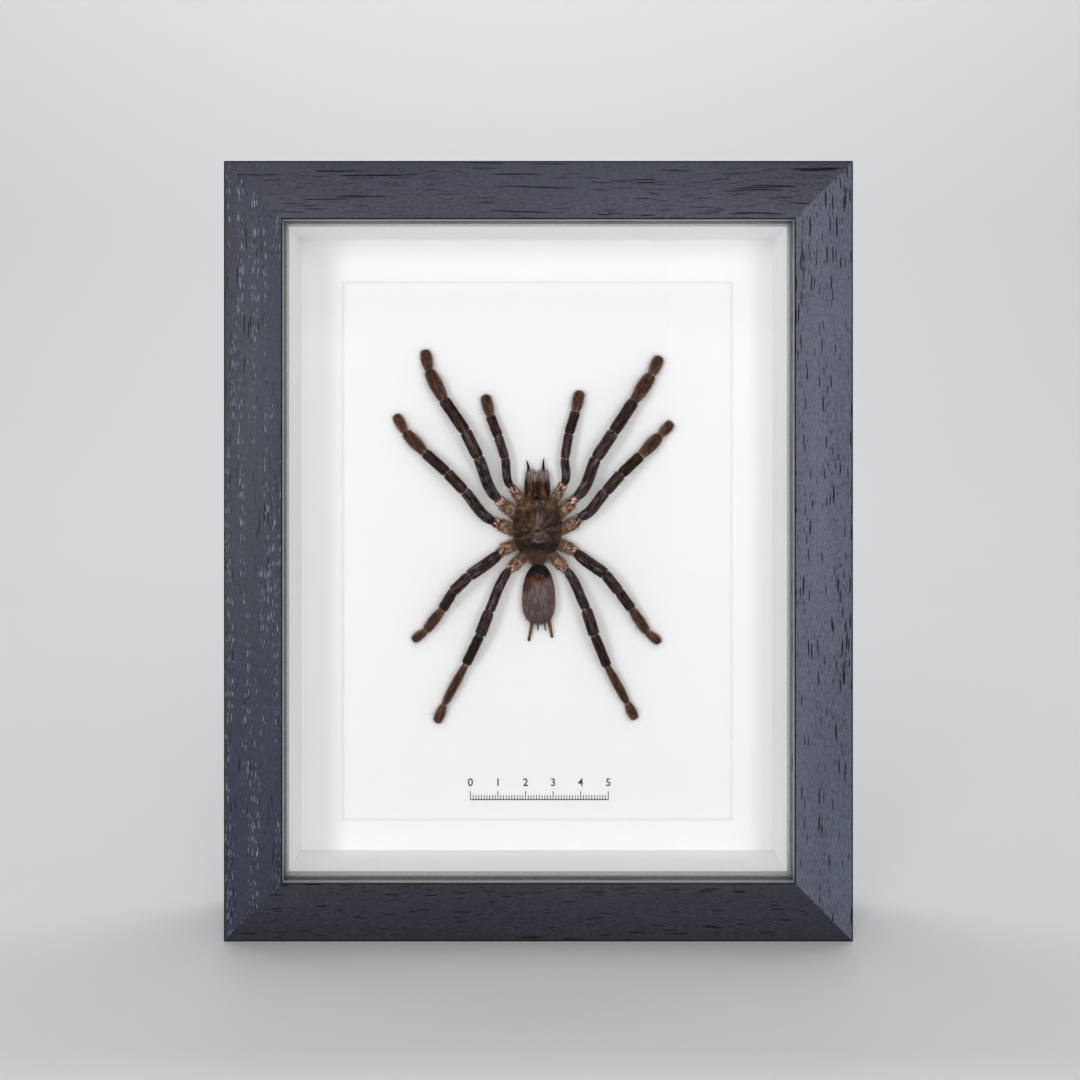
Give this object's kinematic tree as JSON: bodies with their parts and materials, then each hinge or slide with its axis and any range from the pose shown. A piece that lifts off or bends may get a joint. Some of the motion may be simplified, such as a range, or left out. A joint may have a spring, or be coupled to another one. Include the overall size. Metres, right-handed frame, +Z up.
{
  "type": "framed tarantula specimen",
  "caption": "Dried spread tarantula on a white debossed board in a deep black open-grain wooden box frame with a glass front and a tabbed back.",
  "frame": {"origin": "middle of the frame's underside", "axes": "+Z up, -Y out of the glass front, +X to the right of someone who looks at the glass"},
  "size_m": [0.21, 0.047, 0.2605],
  "materials": {
    "black_wood": "open-grain wood, blue-black satin stain",
    "black_strip": "plain satin black strip",
    "white_spacer": "matt white foam board",
    "clear_glass": "clear picture glass",
    "mount_board": "smooth matt white mount board with a pressed plate line",
    "back_panel": "brown fibre board",
    "zinc_steel": "zinc-plated steel, lightly dulled",
    "specimen_body": "dried cuticle under short brown-gold hair",
    "specimen_abdomen": "dried skin under short grey-brown hair",
    "specimen_limbs": "dried cuticle under dark brown hair, pale joint rings"
  },
  "bodies": {
    "root": {"rail_bottom": "black_wood", "rail_top": "black_wood", "stile_left": "black_wood", "stile_right": "black_wood", "fillet_bottom": "black_strip", "fillet_left": "black_strip", "fillet_top": "black_strip", "fillet_right": "black_strip", "spacer_bottom": "white_spacer", "spacer_left": "white_spacer", "spacer_top": "white_spacer", "spacer_right": "white_spacer", "glass_pane": "clear_glass", "mount_board": "mount_board", "back_panel": "back_panel", "hanger": "zinc_steel", "tab_bottom_a": "zinc_steel", "tab_bottom_b": "zinc_steel", "tab_left_a": "zinc_steel", "tab_left_b": "zinc_steel", "tab_top_a": "zinc_steel", "tab_top_b": "zinc_steel", "tab_right_a": "zinc_steel", "tab_right_b": "zinc_steel", "prosoma": "specimen_body", "abdomen": "specimen_abdomen", "chelicera_left": "specimen_body", "chelicera_right": "specimen_body", "palp_left": "specimen_limbs", "palp_right": "specimen_limbs", "leg_1_left": "specimen_limbs", "leg_1_right": "specimen_limbs", "leg_2_left": "specimen_limbs", "leg_2_right": "specimen_limbs", "leg_3_left": "specimen_limbs", "leg_3_right": "specimen_limbs", "leg_4_left": "specimen_limbs", "leg_4_right": "specimen_limbs"}
  },
  "joints": []
}
